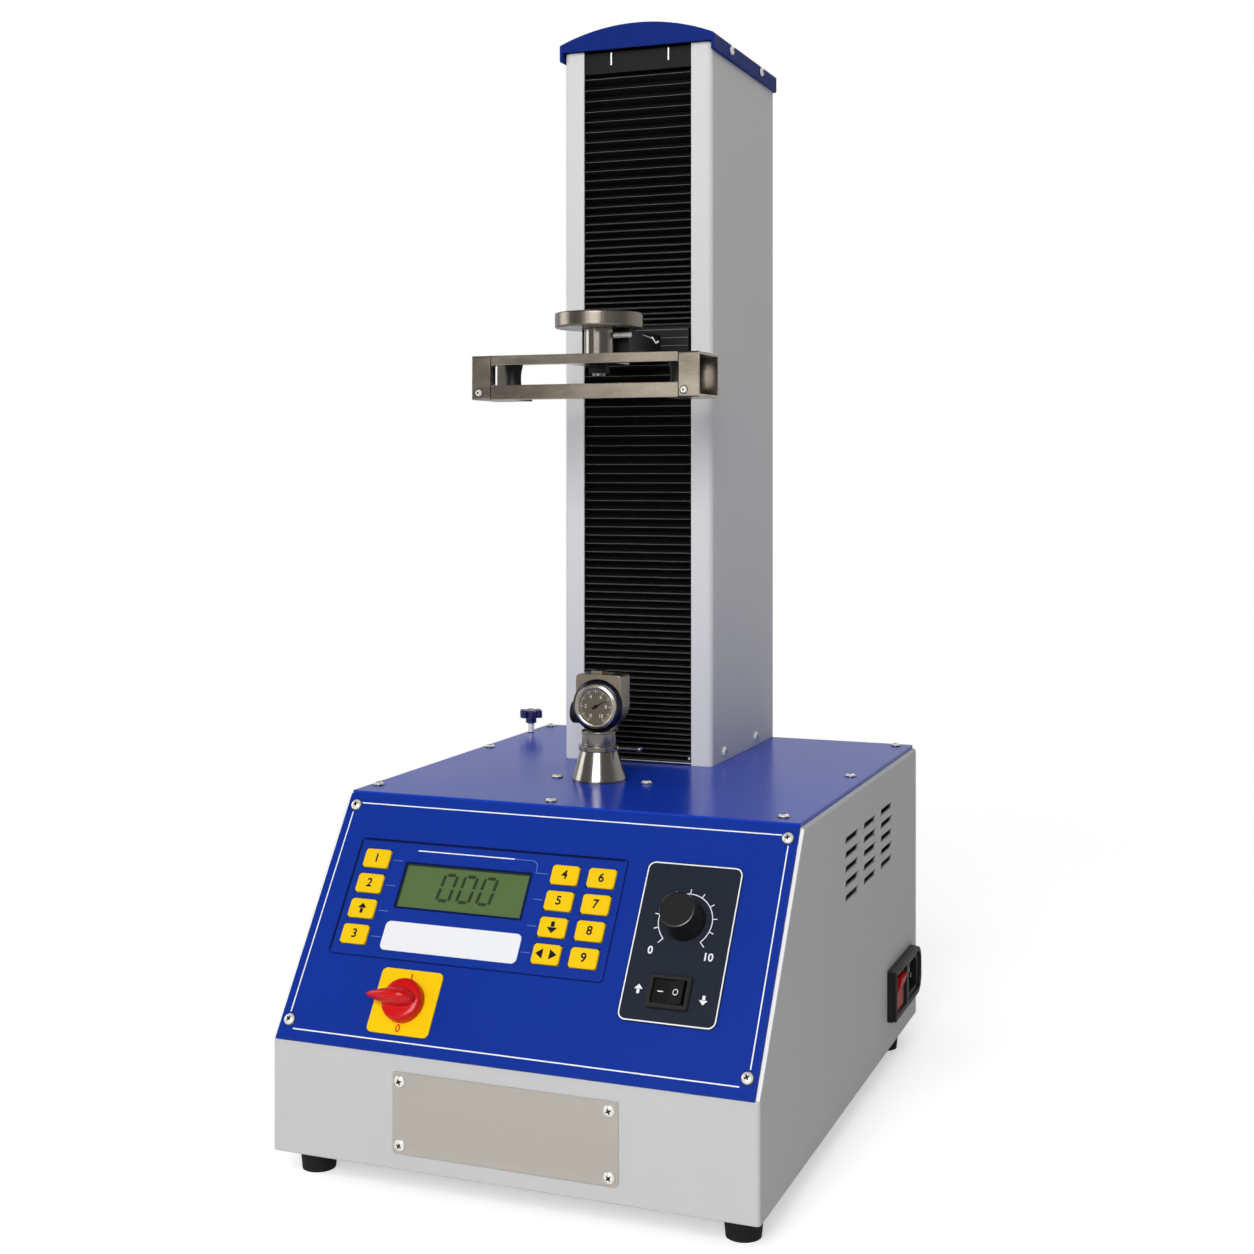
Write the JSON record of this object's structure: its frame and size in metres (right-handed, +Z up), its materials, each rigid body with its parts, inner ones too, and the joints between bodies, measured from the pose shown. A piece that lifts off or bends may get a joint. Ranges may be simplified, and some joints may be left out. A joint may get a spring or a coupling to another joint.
{
  "type": "peel bond strength tester",
  "caption": "Bench-top peel tester: sloped control cabinet, column with bellows, driven crosshead with peel frame and guide rollers, lower grip with dial.",
  "frame": {"origin": "on the bench under the middle of the cabinet", "axes": "+X to the operator's right, -Y towards the operator, +Z up"},
  "size_m": [0.3727, 0.4886, 0.8765],
  "materials": {
    "blue_plate": "gloss enamel",
    "grey_case": "satin powder coat",
    "zinc_plate": "satin",
    "rubber_foot": "matt",
    "bellows_skin": "matt coated fabric",
    "screw_steel": "bright",
    "shaft_steel": "ground",
    "frame_steel": "satin",
    "cell_metal": "dark anodised",
    "block_metal": "machined",
    "nut_brass": "machined",
    "pin_brass": "nickelled",
    "motor_black": "satin",
    "electronics": "matt",
    "name_metal": "brushed",
    "overlay_film": "gloss film",
    "display": "gloss",
    "key_yellow": "satin",
    "label_yellow": "satin",
    "label_slate": "satin",
    "knob_red": "gloss",
    "knob_black": "gloss",
    "knob_navy": "gloss",
    "roller_black": "matt",
    "grip_steel": "brushed",
    "grip_knob": "satin",
    "gauge_metal": "gloss",
    "needle_white": "matt"
  },
  "bodies": {
    "cabinet": {"base_plate": "zinc_plate", "bearing_blocks": "block_metal", "cabinet_shell": "grey_case", "column_cap": "blue_plate", "column_cover": "grey_case", "column_screws": "screw_steel", "dial_gauge": "gauge_metal", "drive_motor": "motor_black", "electronics": "electronics", "front_panel": "blue_plate", "grip_base": "grip_steel", "grip_body": "grip_steel", "guide_rods": "shaft_steel", "inlet_pins": "pin_brass", "keypad_overlay": "overlay_film", "lcd_display": "display", "lower_bellows": "bellows_skin", "name_plate": "name_metal", "panel_controls": "knob_black", "panel_screws": "screw_steel", "power_inlet": "knob_black", "rocker_bezel": "knob_black", "rubber_feet": "rubber_foot", "speed_plate": "label_slate", "stop_plate": "label_yellow", "top_plate": "blue_plate", "upper_bellows": "bellows_skin"},
    "drive_shaft": {"lead_screw": "shaft_steel", "shaft_coupling": "shaft_steel"},
    "crosshead": {"carriage": "block_metal", "lead_nut": "nut_brass", "crosshead_arm": "block_metal", "load_cell": "cell_metal", "fixture_stem": "frame_steel", "peel_frame": "frame_steel", "frame_ends": "frame_steel", "frame_fasteners": "screw_steel"},
    "guide_roller_left": {"guide_roller_left": "roller_black"},
    "guide_roller_right": {"guide_roller_right": "roller_black"},
    "stop_knob": {"stop_knob": "knob_red"},
    "speed_knob": {"speed_knob": "knob_black"},
    "direction_rocker": {"direction_rocker": "knob_black"},
    "power_rocker": {"power_rocker": "knob_red"},
    "clamp_screw": {"clamp_screw": "grip_knob"},
    "moving_jaw": {"moving_jaw": "grip_steel"},
    "dial_needle": {"dial_needle": "needle_white"},
    "locking_lever": {"locking_lever": "grip_steel"},
    "star_knob": {"star_knob": "knob_navy"},
    "key_left_1": {"key_left_1": "key_yellow"},
    "key_left_2": {"key_left_2": "key_yellow"},
    "key_left_3": {"key_left_3": "key_yellow"},
    "key_left_4": {"key_left_4": "key_yellow"},
    "key_middle_1": {"key_middle_1": "key_yellow"},
    "key_middle_2": {"key_middle_2": "key_yellow"},
    "key_middle_3": {"key_middle_3": "key_yellow"},
    "key_middle_4": {"key_middle_4": "key_yellow"},
    "key_right_1": {"key_right_1": "key_yellow"},
    "key_right_2": {"key_right_2": "key_yellow"},
    "key_right_3": {"key_right_3": "key_yellow"},
    "key_right_4": {"key_right_4": "key_yellow"}
  },
  "joints": [
    {"name": "lead_screw_spin", "type": "hinge", "parent": "cabinet", "child": "drive_shaft", "pos_m": [-0.019, 0.142, 0.246], "axis": [0, 0, 1], "range_deg": [-4320, 6480]},
    {"name": "crosshead_slide", "type": "slide", "parent": "cabinet", "child": "crosshead", "axis": [0, 0, 1], "range_m": [-0.18, 0.12], "deforming": ["upper_bellows", "lower_bellows"]},
    {"name": "guide_roller_left_spin", "type": "hinge", "parent": "crosshead", "child": "guide_roller_left", "pos_m": [-0.092, -0.025, 0.5755], "axis": [0, 0, 1], "continuous": true},
    {"name": "guide_roller_right_spin", "type": "hinge", "parent": "crosshead", "child": "guide_roller_right", "pos_m": [0.049, -0.025, 0.5755], "axis": [0, 0, 1], "continuous": true},
    {"name": "stop_knob_turn", "type": "hinge", "parent": "cabinet", "child": "stop_knob", "pos_m": [-0.084, -0.22071, 0.12813], "axis": [0, 0.8205, -0.5717], "range_deg": [0, 90]},
    {"name": "speed_knob_turn", "type": "hinge", "parent": "cabinet", "child": "speed_knob", "pos_m": [0.1082, -0.17611, 0.19212], "axis": [0, 0.8205, -0.5717], "range_deg": [-150, 150]},
    {"name": "direction_rocker_tilt", "type": "hinge", "parent": "cabinet", "child": "direction_rocker", "pos_m": [0.107, -0.2058, 0.15126], "axis": [0, 0.5717, 0.8205], "range_deg": [0, 16]},
    {"name": "power_rocker_tilt", "type": "hinge", "parent": "cabinet", "child": "power_rocker", "pos_m": [0.1815, 0.149, 0.065], "axis": [0, -1, 0], "range_deg": [0, 18]},
    {"name": "clamp_screw_turn", "type": "hinge", "parent": "cabinet", "child": "clamp_screw", "pos_m": [-0.0365, -0.017, 0.309], "axis": [1, 0, 0], "range_deg": [0, 1440]},
    {"name": "moving_jaw_slide", "type": "slide", "parent": "cabinet", "child": "moving_jaw", "axis": [1, 0, 0], "range_m": [0, 0.005]},
    {"name": "dial_needle_sweep", "type": "hinge", "parent": "cabinet", "child": "dial_needle", "pos_m": [-0.0175, -0.0327, 0.316], "axis": [0, 1, 0], "range_deg": [-210, 90]},
    {"name": "locking_lever_turn", "type": "hinge", "parent": "cabinet", "child": "locking_lever", "pos_m": [-0.0175, -0.025, 0.283], "axis": [0, 0, 1], "range_deg": [-30, 60]},
    {"name": "star_knob_turn", "type": "hinge", "parent": "cabinet", "child": "star_knob", "pos_m": [-0.172, 0.188, 0.257], "axis": [0, 0, 1], "range_deg": [0, 1080]},
    {"name": "key_left_1_press", "type": "slide", "parent": "cabinet", "child": "key_left_1", "axis": [0, 0.8205, -0.5717], "range_m": [0, 0.0006], "stiffness_N_per_m": 1500, "springref_m": -0.0003},
    {"name": "key_left_2_press", "type": "slide", "parent": "cabinet", "child": "key_left_2", "axis": [0, 0.8205, -0.5717], "range_m": [0, 0.0006], "stiffness_N_per_m": 1500, "springref_m": -0.0003},
    {"name": "key_left_3_press", "type": "slide", "parent": "cabinet", "child": "key_left_3", "axis": [0, 0.8205, -0.5717], "range_m": [0, 0.0006], "stiffness_N_per_m": 1500, "springref_m": -0.0003},
    {"name": "key_left_4_press", "type": "slide", "parent": "cabinet", "child": "key_left_4", "axis": [0, 0.8205, -0.5717], "range_m": [0, 0.0006], "stiffness_N_per_m": 1500, "springref_m": -0.0003},
    {"name": "key_middle_1_press", "type": "slide", "parent": "cabinet", "child": "key_middle_1", "axis": [0, 0.8205, -0.5717], "range_m": [0, 0.0006], "stiffness_N_per_m": 1500, "springref_m": -0.0003},
    {"name": "key_middle_2_press", "type": "slide", "parent": "cabinet", "child": "key_middle_2", "axis": [0, 0.8205, -0.5717], "range_m": [0, 0.0006], "stiffness_N_per_m": 1500, "springref_m": -0.0003},
    {"name": "key_middle_3_press", "type": "slide", "parent": "cabinet", "child": "key_middle_3", "axis": [0, 0.8205, -0.5717], "range_m": [0, 0.0006], "stiffness_N_per_m": 1500, "springref_m": -0.0003},
    {"name": "key_middle_4_press", "type": "slide", "parent": "cabinet", "child": "key_middle_4", "axis": [0, 0.8205, -0.5717], "range_m": [0, 0.0006], "stiffness_N_per_m": 1500, "springref_m": -0.0003},
    {"name": "key_right_1_press", "type": "slide", "parent": "cabinet", "child": "key_right_1", "axis": [0, 0.8205, -0.5717], "range_m": [0, 0.0006], "stiffness_N_per_m": 1500, "springref_m": -0.0003},
    {"name": "key_right_2_press", "type": "slide", "parent": "cabinet", "child": "key_right_2", "axis": [0, 0.8205, -0.5717], "range_m": [0, 0.0006], "stiffness_N_per_m": 1500, "springref_m": -0.0003},
    {"name": "key_right_3_press", "type": "slide", "parent": "cabinet", "child": "key_right_3", "axis": [0, 0.8205, -0.5717], "range_m": [0, 0.0006], "stiffness_N_per_m": 1500, "springref_m": -0.0003},
    {"name": "key_right_4_press", "type": "slide", "parent": "cabinet", "child": "key_right_4", "axis": [0, 0.8205, -0.5717], "range_m": [0, 0.0006], "stiffness_N_per_m": 1500, "springref_m": -0.0003}
  ],
  "couplings": [
    {"joint": "lead_screw_spin", "follows": "crosshead_slide", "rad_per_m": -628.32},
    {"joint": "clamp_screw_turn", "follows": "moving_jaw_slide", "rad_per_m": 5026.5}
  ]
}
